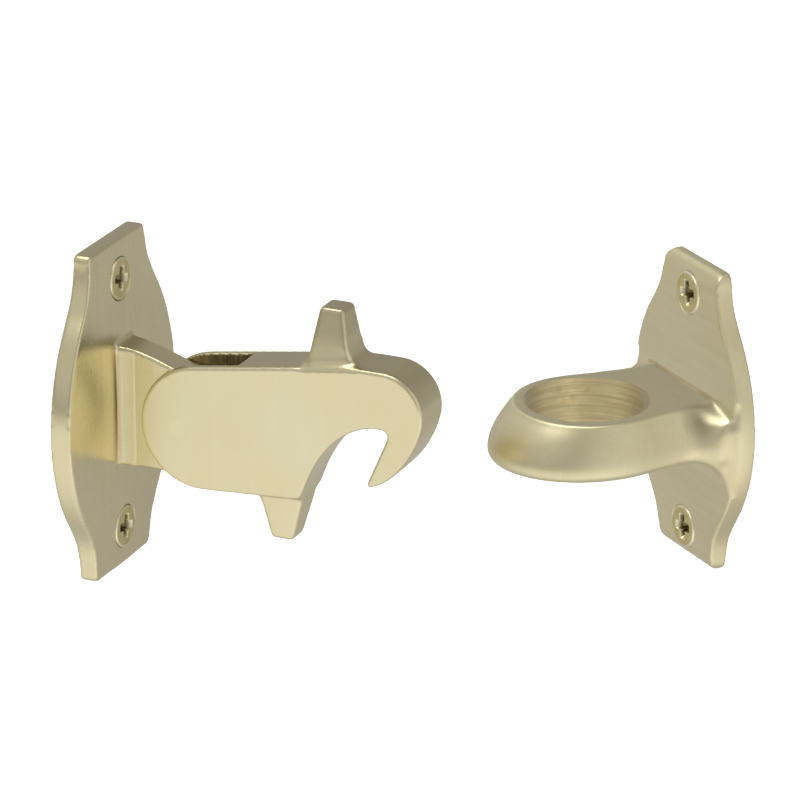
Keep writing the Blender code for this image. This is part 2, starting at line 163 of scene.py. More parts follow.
def tongue_outline():
    """Side view of the tongue: convex top, straight bottom, square lower stop."""
    stop_x = SLOT_END_X - GAP
    end = arc(PIN_X, PIN_Z, TONGUE_END_R, 92.0, -18.0, 40)
    top = bezier((0.0, TONGUE_TOP), (8.0, TONGUE_TOP + 0.5), (14.0, TONGUE_TOP - 2.4), end[0], 24)
    return ([(0.0, TONGUE_BOTTOM)] + top + end[1:]
            + [(stop_x, PIN_Z - 4.6), (stop_x, TONGUE_BOTTOM + 1.0), (stop_x - 1.0, TONGUE_BOTTOM)])


def tongue_plan():
    """Plan of the tongue: a broad root that narrows to the slot's width."""
    neck = bezier((WALL_FACE - 0.3, TONGUE_ROOT_HALF), (WALL_FACE + 1.2, TONGUE_ROOT_HALF - 0.4),
                  (WALL_FACE + 2.4, TONGUE_HALF + 0.1), (WALL_FACE + 4.4, TONGUE_HALF), 20)
    half = [(0.0, TONGUE_ROOT_HALF)] + neck + [(SLOT_END_X + 2.0, TONGUE_HALF)]
    return half + [(x, -y) for x, y in reversed(half)]


def arm_outline():
    """Side view of the arm without horn and leg, from the underside of the heel round to the throat."""
    heel = arc(HEEL_X, HEEL_Z, HEEL_R, 272.0, 98.0, 72)
    nose = arc(NOSE_X, NOSE_Z, NOSE_R, 84.0, -12.0, 40)
    tip_top = (57.8, -6.6)
    tip = (58.0, -7.4)
    beak = bezier(nose[-1], (68.2, 2.1), (64.5, -5.7), tip, 28)
    corner = arc(60.7, 3.4, THROAT_CORNER_R, -18.0, 92.0, 12)
    throat = bezier(corner[-1], (53.5, 5.0), (47.0, -1.7), THROAT_END, 36)
    return heel + list(HORN_FOOT) + nose + beak[1:] + [tip_top] + corner + throat[1:]


def flare(dist):
    """How far the keeper's neck has spread at a distance in front of its plate."""
    reach = min(max(FLARE_START - dist, 0.0), FLARE_R)
    return FLARE_R - sqrt(FLARE_R ** 2 - reach ** 2)


def ring_outline(share, inset):
    """Plan of ring and neck at one level: half ellipse, slightly waisted neck, flare."""
    spread = min(1.0, 2.0 * share)
    front, side, neck = (a + (b - a) * share - inset for a, b in zip(RING_RIM, RING_FOOT))
    run = RING_X - KEEPER_FACE
    flank = [(KEEPER_FACE - 2.0, neck + (FLARE_LIMIT - inset - neck) * spread)]
    for dist in np.linspace(1.2, run - 1.0, 44):
        ease = max(0.0, (dist - FLARE_START) / (run - FLARE_START))
        half = neck + (side - neck) * ease * ease * (3 - 2 * ease)
        flank.append((KEEPER_FACE + dist, min(half + spread * flare(dist), FLARE_LIMIT - inset)))
    turn = [radians(90.0 - 180.0 * i / 90) for i in range(91)]
    nose = [(RING_X + front * cos(a), side * sin(a)) for a in turn]
    return flank + nose + [(x, -y) for x, y in reversed(flank)]


def ring_levels():
    """The ring's section from the top face down, as (share of the foot, inset, z)."""
    shoulder = RING_TOP - RING_TOP_R
    top = arc(RING_TOP_R, shoulder, RING_TOP_R, 90.0, 180.0, 8)
    wall = bezier((0.0, shoulder), (0.5, shoulder - 2.4), (1.0, RING_FOOT_Z + 3.0),
                  (1.0, RING_FOOT_Z), 14)
    edge = arc(-RING_EDGE_R, RING_FOOT_Z, RING_EDGE_R, 0.0, -90.0, 8)
    return ([(0.0, inset, z) for inset, z in top] + [(share, 0.0, z) for share, z in wall[1:]]
            + [(1.0, -inset, z) for inset, z in edge[1:]])


# ---------------------------------------------------------------- meshes

def new_object(name, data):
    """New object in the scene from a mesh or a camera."""
    obj = bpy.data.objects.new(name, data)
    bpy.context.scene.collection.objects.link(obj)
    return obj


def from_bmesh(name, bm):
    """New object from a bmesh, its normals turned outward; the bmesh is freed."""
    bmesh.ops.recalc_face_normals(bm, faces=bm.faces)
    mesh = bpy.data.meshes.new(name)
    bm.to_mesh(mesh)
    bm.free()
    return new_object(name, mesh)


def prism(name, points, low, high, plane, bevel=0.0):
    """Solid between two copies of an outline given in plane 'xy', 'xz' or 'yz'."""
    place = {"xy": lambda u, v, w: (u, v, w), "xz": lambda u, v, w: (u, w, v),
             "yz": lambda u, v, w: (w, u, v)}[plane]
    bm = bmesh.new()
    near = [bm.verts.new(place(u, v, low)) for u, v in points]
    far = [bm.verts.new(place(u, v, high)) for u, v in points]
    bm.faces.new(near)
    bm.faces.new(list(reversed(far)))
    for i in range(len(points)):
        j = (i + 1) % len(points)
        bm.faces.new((near[j], near[i], far[i], far[j]))
    bmesh.ops.recalc_face_normals(bm, faces=bm.faces)
    if bevel > 0.0:
        rims = [e for e in bm.edges if (e.verts[0] in near) == (e.verts[1] in near)]
        bmesh.ops.bevel(bm, geom=rims, offset=bevel, segments=3, affect="EDGES", profile=0.5)
    return from_bmesh(name, bm)


def loft(name, outlines):
    """Closed solid through level outlines, each (z, points), all with equal counts."""
    bm = bmesh.new()
    rings = [[bm.verts.new((x, y, z)) for x, y in pts] for z, pts in outlines]
    for upper, lower in zip(rings, rings[1:]):
        for i, vert in enumerate(upper):
            j = (i + 1) % len(upper)
            bm.faces.new((vert, lower[i], lower[j], upper[j]))
    bm.faces.new(rings[0])
    bm.faces.new(list(reversed(rings[-1])))
    return from_bmesh(name, bm)


def turned(name, profile, sides, move=Matrix.Identity(4)):
    """Solid turned about Z from (radius, height) points, both ends on the axis."""
    bm = bmesh.new()
    rows = []
    for radius, height in profile:
        if radius == 0.0:
            rows.append([bm.verts.new((0.0, 0.0, height))])
        else:
            rows.append([bm.verts.new((radius * cos(2 * pi * i / sides),
                                       radius * sin(2 * pi * i / sides), height))
                         for i in range(sides)])
    for upper, lower in zip(rows, rows[1:]):
        for i in range(sides):
            j = (i + 1) % sides
            if len(upper) == 1:
                bm.faces.new((upper[0], lower[i], lower[j]))
            elif len(lower) == 1:
                bm.faces.new((upper[i], lower[0], upper[j]))
            else:
                bm.faces.new((upper[i], lower[i], lower[j], upper[j]))
    bmesh.ops.transform(bm, matrix=move, verts=bm.verts)
    return from_bmesh(name, bm)


def crown_block(name, size):
    """Block with a flat back and a doubly crowned front, wider and taller than its plate."""
    rows, cols = 70, 50
    half_z, half_y = size["height"] / 2 + 1.0, size["mid_half"] + 2.0
    bm = bmesh.new()
    grid = []
    for i in range(rows + 1):
        z = -half_z + 2 * half_z * i / rows
        ys = [-half_y + 2 * half_y * k / cols for k in range(cols + 1)]
        grid.append([bm.verts.new((face_height(size, y, z), y, z)) for y in ys])
    for lower, upper in zip(grid, grid[1:]):
        for k in range(cols):
            bm.faces.new((lower[k], lower[k + 1], upper[k + 1], upper[k]))
    rim = grid[0][:-1] + [row[-1] for row in grid[:-1]]
    rim += grid[-1][:0:-1] + [row[0] for row in grid[:0:-1]]
    back = [bm.verts.new((0.0, v.co.y, v.co.z)) for v in rim]
    for i, vert in enumerate(rim):
        j = (i + 1) % len(rim)
        bm.faces.new((vert, rim[j], back[j], back[i]))
    bm.faces.new(back)
    return from_bmesh(name, bm)


def frustum(name, base, tip, base_half, tip_half, side_bevel, tip_bevel):
    """A drafted block through two sections, each two (x, z) corners, with rounded edges."""
    bm = bmesh.new()
    quads = []
    for half, pts in ((base_half, base), (tip_half, tip)):
        (x0, z0), (x1, z1) = pts
        quads.append([bm.verts.new(p) for p in ((x0, -half, z0), (x1, -half, z1),
                                                (x1, half, z1), (x0, half, z0))])
    low, high = quads
    bm.faces.new(low)
    bm.faces.new(list(reversed(high)))
    for i in range(4):
        j = (i + 1) % 4
        bm.faces.new((low[j], low[i], high[i], high[j]))
    bmesh.ops.recalc_face_normals(bm, faces=bm.faces)
    corners = [e for e in bm.edges if (e.verts[0] in low) != (e.verts[1] in low)]
    bmesh.ops.bevel(bm, geom=corners, offset=side_bevel, segments=4, affect="EDGES", profile=0.5)
    rim = [e for e in bm.edges if all(abs(v.co.z - tip[0][1]) < 0.01 for v in e.verts)]
    bmesh.ops.bevel(bm, geom=rim, offset=tip_bevel, segments=4, affect="EDGES", profile=0.5)
    return from_bmesh(name, bm)


def applied(obj):
    """Replaces an object's mesh with its evaluated one and clears the modifiers."""
    graph = bpy.context.evaluated_depsgraph_get()
    mesh = bpy.data.meshes.new_from_object(obj.evaluated_get(graph))
    obj.modifiers.clear()
    obj.data = mesh


def combine(obj, *steps):
    """Exact Booleans, each (operation, other); the others are removed."""
    for operation, other in steps:
        mod = obj.modifiers.new(operation, "BOOLEAN")
        mod.operation = operation
        mod.solver = "EXACT"
        mod.object = other
        bpy.context.view_layer.update()
        applied(obj)
        bpy.data.objects.remove(other)
    return obj


def remeshed(obj, voxel):
    """Rebuilds a mesh as even quads of about the voxel's size, ready for smoothing."""
    mod = obj.modifiers.new("remesh", "REMESH")
    mod.mode = "VOXEL"
    mod.voxel_size = voxel
    bpy.context.view_layer.update()
    applied(obj)
    return obj


def read_points(mesh):
    co = np.empty(len(mesh.vertices) * 3)
    mesh.vertices.foreach_get("co", co)
    return co.reshape(-1, 3)


def relaxed(obj, rounds, weight=None, step=0.5):
    """Laplacian smoothing; weight(points) gives each point's share from 0 to 1."""
    mesh = obj.data
    co = read_points(mesh)
    edges = np.empty(len(mesh.edges) * 2, dtype=np.int64)
    mesh.edges.foreach_get("vertices", edges)
    a, b = edges[0::2], edges[1::2]
    count = np.bincount(a, minlength=len(co)) + np.bincount(b, minlength=len(co))
    share = np.ones(len(co)) if weight is None else weight(co)
    for _ in range(rounds):
        total = np.stack([np.bincount(a, co[b, k], len(co)) + np.bincount(b, co[a, k], len(co))
                          for k in range(3)], axis=1)
        co += step * share[:, None] * (total / count[:, None] - co)
    mesh.vertices.foreach_set("co", co.ravel())
    mesh.update()
    return obj


def flattened(obj, axis, value, reach=0.06):
    """Puts points that lie within reach of a flat face exactly on it."""
    co = read_points(obj.data)
    near = np.abs(co[:, axis] - value) < reach
    co[near, axis] = value
    obj.data.vertices.foreach_set("co", co.ravel())
    obj.data.update()


def near_segment(points, start, end, reach):
    """Share from 1 on a segment to 0 at reach from it."""
    start, end = np.array(start), np.array(end)
    along = end - start
    t = np.clip((points - start) @ along / (along @ along), 0.0, 1.0)
    dist = np.linalg.norm(points - (start + t[:, None] * along), axis=1)
    return np.clip(1.5 - 1.5 * dist / reach, 0.0, 1.0)


def finished(obj, body, node, materials, place=Matrix.Identity(4)):
    """Scales to metres, places, shades smooth, gives materials and hangs it on the frame."""
    mesh = obj.data
    mesh.transform(Matrix.Scale(MM, 4))
    obj.matrix_world = place
    mesh.materials.clear()
    for mat in materials:
        mesh.materials.append(mat)
    mesh.shade_smooth()
    mesh.set_sharp_from_angle(angle=radians(50))
    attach(obj, body)
    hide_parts(node)
    return obj


def assign(obj, index, test):
    """Gives a material index to the faces whose centre (in metres) and normal pass a test."""
    mesh = obj.data
    n = len(mesh.polygons)
    centre, normal = np.empty(n * 3), np.empty(n * 3)
    mesh.polygons.foreach_get("center", centre)
    mesh.polygons.foreach_get("normal", normal)
    index_now = np.zeros(n, dtype=np.int32)
    mesh.polygons.foreach_get("material_index", index_now)
    index_now[test(centre.reshape(-1, 3), normal.reshape(-1, 3))] = index
    mesh.polygons.foreach_set("material_index", index_now)


# ---------------------------------------------------------------- materials

class Graph:
    """Short forms for building the nodes of a material or a world."""

    def __init__(self, owner):
        owner.use_nodes = True
        self.owner = owner
        self.tree = owner.node_tree
        self.shader = self.tree.nodes.get("Principled BSDF")

    def node(self, kind, inputs=None, **settings):
        """New node; inputs take a plain value or another node's output."""
        made = self.tree.nodes.new(kind)
        for key, value in settings.items():
            setattr(made, key, value)
        for key, value in (inputs or {}).items():
            self.put(made.inputs[key], value)
        return made

    def put(self, socket, value):
        if isinstance(value, bpy.types.NodeSocket):
            self.tree.links.new(value, socket)
        else:
            socket.default_value = value

    def math(self, operation, a, b=0.0):
        made = self.node("ShaderNodeMath", operation=operation)
        self.put(made.inputs[0], a)
        self.put(made.inputs[1], b)
        return made.outputs[0]

    def here(self):
        """Place on the object, in its own axes."""
        return self.node("ShaderNodeTexCoord").outputs["Object"]

    def split(self, vector, axis):
        return self.node("ShaderNodeSeparateXYZ", {"Vector": vector}).outputs[axis]

    def stretch(self, source, scale):
        return self.node("ShaderNodeMapping", {"Vector": source, "Scale": scale}).outputs[0]

    def noise(self, vector, scale, detail, rough):
        made = self.node("ShaderNodeTexNoise", {"Vector": vector, "Scale": scale, "Detail": detail,
                                                "Roughness": rough})
        return made.outputs["Fac"]

    def mix(self, fac, a, b):
        made = self.node("ShaderNodeMix", data_type="RGBA")
        self.put(made.inputs["Factor"], fac)
        for socket, value in ((made.inputs[6], a), (made.inputs[7], b)):
            self.put(socket, (*value, 1.0) if isinstance(value, tuple) else value)
        return made.outputs[2]

    def distance(self, here, centre):
        """Distance from a point given in millimetres, or from its mirror image across y = 0."""
        parts = self.node("ShaderNodeSeparateXYZ", {"Vector": here}).outputs
        folded = self.node("ShaderNodeCombineXYZ", {"X": parts["X"], "Z": parts["Z"],
                                                    "Y": self.math("ABSOLUTE", parts["Y"])})
        away = self.node("ShaderNodeVectorMath", {0: folded.outputs[0], 1: tuple(c * MM for c in centre)},
                         operation="DISTANCE")
        return away.outputs["Value"]

    def seam(self, here, at, width, reach):
        """1 along a straight seam, 0 at width from it or beyond its reach from the middle.

        at gives the seam's place on two axes and None for the axis it runs along."""
        parts = self.node("ShaderNodeSeparateXYZ", {"Vector": here})
        squares = 0.0
        for axis, centre in zip("XYZ", at):
            size = self.math("ABSOLUTE", parts.outputs[axis])
            if centre is None:
                ends = self.remap(size, 1.0, 0.0, (reach - 1.5) * MM, reach * MM)
            else:
                off = self.math("SUBTRACT", size, centre * MM)
                squares = self.math("ADD", self.math("MULTIPLY", off, off), squares)
        near = self.remap(self.math("SQRT", squares), 1.0, 0.0, 0.0, width * MM)
        return self.math("MULTIPLY", ends, near)

    def remap(self, value, low, high, start, end, curve="LINEAR"):
        """low where the value is at start or before it, high where it is at end or past it."""
        made = self.node("ShaderNodeMapRange", {"Value": value, "From Min": start, "From Max": end,
                                                "To Min": low, "To Max": high}, interpolation_type=curve)
        return made.outputs["Result"]

    def bump(self, height, strength, depth=0.1):
        """Links a bump of the given depth in millimetres to the shader."""
        made = self.node("ShaderNodeBump", {"Height": height, "Strength": strength, "Distance": depth * MM})
        self.put(self.shader.inputs["Normal"], made.outputs["Normal"])


def shades(colour, *factors):
    return tuple(c * k for c, k in zip(colour, factors))


def brushed_tone(g, here, colour, lines, wide, broad, streak, cloud):
    """Warm and cool clouds in the brass, with deeper streaks along the grain."""
    warm = shades(colour, 1.0, 0.975, 0.955)
    cool = shades(colour, 0.985, 1.012, 1.02)
    deep = shades(colour, 0.86, 0.845, 0.81)
    tone = g.mix(g.remap(broad, 0.0, 1.0, 0.35, 0.65), warm, cool)
    tone = g.mix(g.remap(g.noise(here, 52.0, 3.0, 0.6), 0.0, 1.6 * cloud, 0.35, 0.7), tone, deep)
    tone = g.mix(g.remap(wide, 0.0, 0.5 * streak, 0.35, 0.7), tone, deep)
    return g.mix(g.remap(lines, 0.0, 0.7 * streak, 0.35, 0.75), tone, deep)


def shaded_on_top(g, here, colour, tone, share, height):
    """Painted shade: darkens faces that look up and, less so, everything that stands above a height
    in millimetres.
    """
    facing = g.split(g.node("ShaderNodeTexCoord").outputs["Normal"], "Z")
    up = g.remap(facing, 0.0, share, 0.5, 0.95)
    high = g.remap(g.split(here, "Z"), 0.0, 0.6 * share, (height - 3.0) * MM, height * MM)
    return g.mix(g.math("MAXIMUM", up, high), tone, shades(colour, 0.62, 0.59, 0.54))


def satin_brass(name, colour, rough, brush, streak, seam=None, stain_and_shade=None,
                grain=(0.10, 0.15, 1.0), cloud=0.25, top_shade=None):
    """Brushed cast brass. brush is the noise scale along the object's three axes, in 1/m.

    Highlights spread across the grain, a direction in world space. A seam collects brown patina.
    Painted shade: a darker patch (centre, radius) fills a hollow corner, and the last argument,
    (share, height), darkens faces that look up and, less so, everything above the height."""
    g = Graph(bpy.data.materials.new(name))
    here = g.here()
    lines = g.noise(g.stretch(here, brush), 1.0, 3.0, 0.6)
    wide = g.noise(g.stretch(here, tuple(v * 0.22 for v in brush)), 1.0, 2.0, 0.5)
    broad = g.noise(here, 75.0, 2.0, 0.5)
    tone = brushed_tone(g, here, colour, lines, wide, broad, streak, cloud)
    if seam:
        brown = g.math("MULTIPLY", g.seam(here, *seam), g.remap(broad, 0.45, 0.95, 0.35, 0.6))
        tone = g.mix(brown, tone, PATINA)
    # Painted shade: a darker patch round a point and its mirror image across y = 0, for a hollow corner
    if stain_and_shade:
        corner_shade = shades(colour, 0.43, 0.4225, 0.405)
        tone = g.mix(g.remap(g.distance(here, stain_and_shade[0]), 1.0, 0.0, 0.0, stain_and_shade[1] * MM), tone, corner_shade)
    # Painted shade on faces that look up and on what stands above the height
    if top_shade:
        tone = shaded_on_top(g, here, colour, tone, *top_shade)
    g.put(g.shader.inputs["Base Color"], tone)
    g.shader.inputs["Metallic"].default_value = 1.0
    g.shader.inputs["Anisotropic"].default_value = 0.6
    across = g.node("ShaderNodeVectorMath", {0: grain}, operation="CROSS_PRODUCT")
    g.put(across.inputs[1], g.node("ShaderNodeNewGeometry").outputs["Normal"])
    g.put(g.shader.inputs["Tangent"], across.outputs[0])
    g.put(g.shader.inputs["Roughness"], g.remap(g.math("ADD", lines, wide), rough - 0.04 * streak,
                                                rough + 0.05 * streak, 0.7, 1.3))
    g.bump(lines, 0.12 * streak, 0.06)
    return g.owner


def machined_bore(name, colour, rough):
    """Turned bore of the ring: fine marks running round, with faint brown stains."""
    g = Graph(bpy.data.materials.new(name))
    here = g.here()
    rounds = g.noise(g.stretch(here, (60.0, 60.0, 2600.0)), 1.0, 3.0, 0.6)
    wide = g.noise(g.stretch(here, (90.0, 90.0, 420.0)), 1.0, 3.0, 0.6)
    stain_and_shade = g.noise(here, 230.0, 5.0, 0.65)
    tone = g.mix(g.remap(rounds, 0.0, 0.7, 0.4, 0.7), colour, shades(colour, 0.62, 0.62, 0.62))
    tone = g.mix(g.remap(wide, 0.0, 0.5, 0.45, 0.7), tone, (0.44, 0.35, 0.16))
    tone = g.mix(g.remap(stain_and_shade, 0.0, 0.5, 0.54, 0.68), tone, (0.34, 0.22, 0.07))
    g.put(g.shader.inputs["Base Color"], tone)
    g.shader.inputs["Metallic"].default_value = 1.0
    g.put(g.shader.inputs["Roughness"], g.remap(rounds, rough, rough + 0.14, 0.3, 0.8))
    g.bump(g.math("ADD", rounds, g.math("MULTIPLY", wide, 0.6)), 0.35)
    return g.owner


def ground_slot(name):
    """Milled walls of the fork's slot: painted shade makes them dark brown, with upright cutter streaks."""
    g = Graph(bpy.data.materials.new(name))
    here = g.here()
    cuts = g.noise(g.stretch(here, (1500.0, 900.0, 50.0)), 1.0, 4.0, 0.6)
    dirt = g.noise(here, 300.0, 4.0, 0.6)
    # Painted shade: dark brown base colours for the inside of the slot
    tone = g.mix(g.remap(cuts, 0.0, 1.0, 0.35, 0.65), (0.17, 0.135, 0.062), (0.40, 0.335, 0.175))
    tone = g.mix(g.remap(dirt, 0.0, 0.6, 0.5, 0.7), tone, (0.13, 0.10, 0.05))
    g.put(g.shader.inputs["Base Color"], tone)
    g.shader.inputs["Metallic"].default_value = 0.9
    g.put(g.shader.inputs["Roughness"], g.remap(cuts, 0.42, 0.60, 0.3, 0.7))
    g.bump(cuts, 0.2)
    return g.owner


def screw_brass(name, colour, rough, seed):
    """Yellower brass with turning rings round the head's axis (local Z) and small pits.

    The head's rounded rim and the recess's top edge are lightened as a painted highlight, and the
    recess further down is darkened as painted shade."""
    g = Graph(bpy.data.materials.new(name))
    here = g.here()
    flat = g.node("ShaderNodeVectorMath", {0: here, 1: (1.0, 1.0, 0.0)}, operation="MULTIPLY")
    radius = g.node("ShaderNodeVectorMath", {0: flat.outputs[0]}, operation="LENGTH").outputs["Value"]
    turns = g.noise(g.node("ShaderNodeCombineXYZ", {"X": radius}).outputs[0], 5200.0, 2.0, 0.5)
    shifted = g.node("ShaderNodeVectorMath", {0: here, 1: (seed, seed * 2.0, 0.0)}, operation="ADD")
    pits = g.noise(shifted.outputs[0], 2100.0, 3.0, 0.6)
    cloud = g.noise(shifted.outputs[0], 500.0, 4.0, 0.6)
    dark = shades(colour, 0.62, 0.58, 0.45)
    tone = g.mix(g.remap(turns, 0.0, 0.5, 0.35, 0.7), colour, dark)
    tone = g.mix(g.remap(cloud, 0.0, 0.45, 0.45, 0.7), tone, dark)
    tone = g.mix(g.remap(pits, 0.0, 0.8, 0.62, 0.72), tone, (0.16, 0.11, 0.04))
    height = g.split(here, "Z")
    # Painted highlight: lighter below the head's flat top, seen on its rounded rim and the recess's top
    # edge
    tone = g.mix(g.remap(height, 0.9, 0.0, 0.19 * MM, HEAD_PROUD * MM), tone, RIM_HIGHLIGHT_BRASS)
    # Painted shade: darker down in the recess
    sunk = g.math("MULTIPLY", g.remap(height, 0.85, 0.0, -0.9 * MM, -0.15 * MM),
                  g.remap(height, 0.0, 1.0, -3.6 * MM, -2.8 * MM))
    tone = g.mix(sunk, tone, RECESS_SHADE)
    g.put(g.shader.inputs["Base Color"], tone)
    g.shader.inputs["Metallic"].default_value = 1.0
    g.put(g.shader.inputs["Roughness"], g.remap(cloud, rough - 0.04, rough + 0.12, 0.3, 0.7))
    relief = g.math("SUBTRACT", g.math("MULTIPLY", turns, 0.4), g.remap(pits, 0.0, 1.0, 0.60, 0.75))
    g.bump(relief, 0.4)
    return g.owner


# ---------------------------------------------------------------- pieces

def pivot_cylinder(name, radius, half_length, sides):
    """Cylinder on the hook's pivot axis, which lies along Y."""
    profile = [(0.0, half_length), (radius, half_length), (radius, -half_length), (0.0, -half_length)]
    return turned(name, profile, sides,
                  Matrix.Translation((PIN_X, 0, PIN_Z)) @ Matrix.Rotation(radians(90), 4, "X"))


def seat_cutter(name, size, z):
    """Countersunk hole for one screw, its axis along X."""
    face = face_height(size, 0.0, z)
    head, shank = HEAD_D / 2 + GAP * 0.35, SHANK_D / 2 + GAP
    depth = HEAD_RIM + HEAD_H + GAP
    profile = [(0.0, face + 2.0), (head + 2.0, face + 2.0), (head, face - 0.1), (head, face - HEAD_RIM),
               (shank, face - depth), (shank, -1.0), (0.0, -1.0)]
    return turned(name, profile, 96,
                  Matrix.Translation((0, 0, z)) @ Matrix.Rotation(radians(90), 4, "Y"))


def seat_screws(obj, size):
    """Cuts a plate's two countersunk holes."""
    for side, z in (("upper", size["screw_z"]), ("lower", -size["screw_z"])):
        combine(obj, ("DIFFERENCE", seat_cutter("seat_" + side, size, z)))


def wall_plate(mats):
    """mats: the face's material, then the one of every surface square to the wall."""
    plate = prism("wall_plate_casting", plate_outline(WALL), 0.0, BLANK, "yz")
    combine(plate, ("INTERSECT", crown_block("crown", WALL)))
    tongue = prism("tongue", tongue_outline(), -8.0, 8.0, "xz")
    combine(tongue, ("INTERSECT", prism("plan", tongue_plan(), -20.0, 20.0, "xy")))
    combine(plate, ("UNION", tongue))
    combine(plate, ("DIFFERENCE", pivot_cylinder("bore", PIN_D / 2 + GAP, 9.0, 64)))
    remeshed(plate, VOXEL)

    def root_ends(p):
        levels = ((TONGUE_TOP + 0.3, 2.4), (TONGUE_BOTTOM, 2.0))
        return np.maximum.reduce([near_segment(p, (WALL_FACE, -TONGUE_ROOT_HALF, z),
                                               (WALL_FACE, TONGUE_ROOT_HALF, z), reach)
                                  for z, reach in levels])
    relaxed(plate, FILLET_ROUNDS, root_ends)
    relaxed(plate, PLATE_ROUNDS)
    for side in (-1, 1):
        flattened(plate, 1, side * TONGUE_HALF)
    seat_screws(plate, WALL)
    obj = finished(plate, "wall_unit", "wall_plate", mats)
    assign(obj, 1, lambda c, n: np.abs(n[:, 0]) < 0.6)
    return obj


def horn_fillets():
    """Hollow curves from the horn's two ends down to the arm's top edge, drawn side on."""
    front = bezier((53.3, 19.8), (53.75, 17.4), (54.9, 16.42), (57.4, 16.35), 16)
    back = bezier((42.9, 14.8), (44.6, 15.15), (45.1, 16.0), (45.4, 17.6), 12)
    return back + [(48.0, 17.6), (51.0, 19.8)] + front + [(57.4, 13.0), (42.9, 13.0)]


def leg_fillet():
    """Hollow curve from the arm's underside into the back of the leg."""
    back = bezier((35.15, -14.9), (34.75, -13.5), (34.1, -12.75), (32.0, -12.74), 12)
    return [(38.0, -10.0), (38.0, -14.9)] + back + [(32.0, -10.0)]


def arm_casting():
    """The arm with horn, leg and their fillets, slotted for the tongue."""
    arm = prism("hook_casting", arm_outline(), -ARM_HALF, ARM_HALF, "xz", CASTING_EDGE)
    horn = frustum("horn", HORN_BASE, HORN_TIP, HORN_HALF_BASE, HORN_HALF_TIP, 0.7, 0.6)
    leg = frustum("leg", LEG_BASE, LEG_TIP, LEG_HALF_BASE, LEG_HALF_TIP, 0.8, 0.8)
    combine(arm, ("UNION", horn), ("UNION", leg),
            ("UNION", prism("horn_fillet", horn_fillets(), -3.85, 3.85, "xz")),
            ("UNION", prism("leg_fillet", leg_fillet(), -3.3, 3.3, "xz")))
    slot = prism("slot", [(-2.0, -20.0), (SLOT_END_X, -20.0), (SLOT_END_X, 20.0), (-2.0, 20.0)],
                 -SLOT_HALF, SLOT_HALF, "xz")
    combine(arm, ("DIFFERENCE", slot))
    return remeshed(arm, VOXEL)


def hook_arm(mats):
    """mats: the casting's brass, then the milled walls of the slot."""
    arm = arm_casting()
    half, (throat_x, throat_z) = HORN_HALF_BASE, THROAT_END

    def fillets(p):
        ends = [((45.0, side * half, 15.2), (54.4, side * half, 16.4), 2.4) for side in (-1, 1)]
        ends.append(((54.0, -4.0, 16.4), (54.0, 4.0, 16.4), 3.0))
        ends.append(((throat_x, -ARM_HALF, throat_z), (throat_x, ARM_HALF, throat_z), 2.2))
        return np.maximum.reduce([near_segment(p, *end) for end in ends])
    relaxed(arm, FILLET_ROUNDS, fillets)
    relaxed(arm, CASTING_ROUNDS)
    for side in (-1, 1):
        flattened(arm, 1, side * ARM_HALF)
    combine(arm, ("DIFFERENCE", pivot_cylinder("bore", PIN_D / 2 + 0.01, 9.0, 64)))
    obj = finished(arm, "hook", "hook_arm", mats)
    assign(obj, 1, lambda c, n: (np.abs(c[:, 1]) < (SLOT_HALF + 0.06) * MM)
           & (c[:, 0] < (SLOT_END_X + 0.1) * MM))
    return obj


def pivot_pin(mats):
    """The pin, ground flush with both cheeks."""
    pin = pivot_cylinder("pivot_pin_ground", PIN_D / 2, ARM_HALF, 72)
    return finished(pin, "hook", "pivot_pin", mats)


def rolled_ends():
    """Side view that rounds the keeper plate's two end faces over into its front."""
    top, front, radius = KEEPER["height"] / 2, KEEPER["end_t"], ROLLED_END_R
    upper = arc(front - radius, top - radius, radius, 0.0, 90.0, 14)
    lower = [(x, -z) for x, z in reversed(upper)]
    return lower + [(9.0, -top + radius), (9.0, top - radius)] + upper + [(-1.0, top), (-1.0, -top)]


def gusset_outline():
    """Side view of the hollow web between the ring's underside and the keeper's plate."""
    back, under = KEEPER_FACE - 2.0, RING_FOOT_Z - RING_EDGE_R
    centre = (KEEPER_FACE + GUSSET_R, under - GUSSET_R)
    return ([(back, under + 1.0), (back, centre[1])] + arc(*centre, GUSSET_R, 180.0, 90.0, 16)
            + [(centre[0], under + 1.0)])


def keeper_casting():
    """Plate, ring and web joined, not yet smoothed or bored."""
    body = prism("keeper_casting", plate_outline(KEEPER), 0.0, BLANK, "yz")
    combine(body, ("INTERSECT", crown_block("crown", KEEPER)),
            ("INTERSECT", prism("rolled", rolled_ends(), -30.0, 30.0, "xz")))
    ring = loft("ring", [(z, ring_outline(share, inset)) for share, inset, z in ring_levels()])
    web = prism("web", gusset_outline(), -30.0, 30.0, "xz")
    combine(web, ("INTERSECT", prism("web_plan", ring_outline(1.0, 1.0), -20.0, 20.0, "xy")))
    combine(body, ("UNION", ring), ("UNION", web))
    return remeshed(body, VOXEL)


def flare_blends(p):
    """Share of smoothing, highest where the neck's two flanks run out into the plate."""
    side, ahead = np.abs(p[:, 1]) - 10.5, KEEPER_FACE + 10.0 - p[:, 0]
    inside = (side > 0.0) & (ahead > 0.0) & (p[:, 2] < 7.5) & (p[:, 2] > -12.0)
    inward = np.clip(side / 3.0, 0, 1) * np.clip(ahead / 5.0, 0, 1)
    return inside * inward * np.clip((p[:, 0] - 1.5) / 1.5, 0, 1)


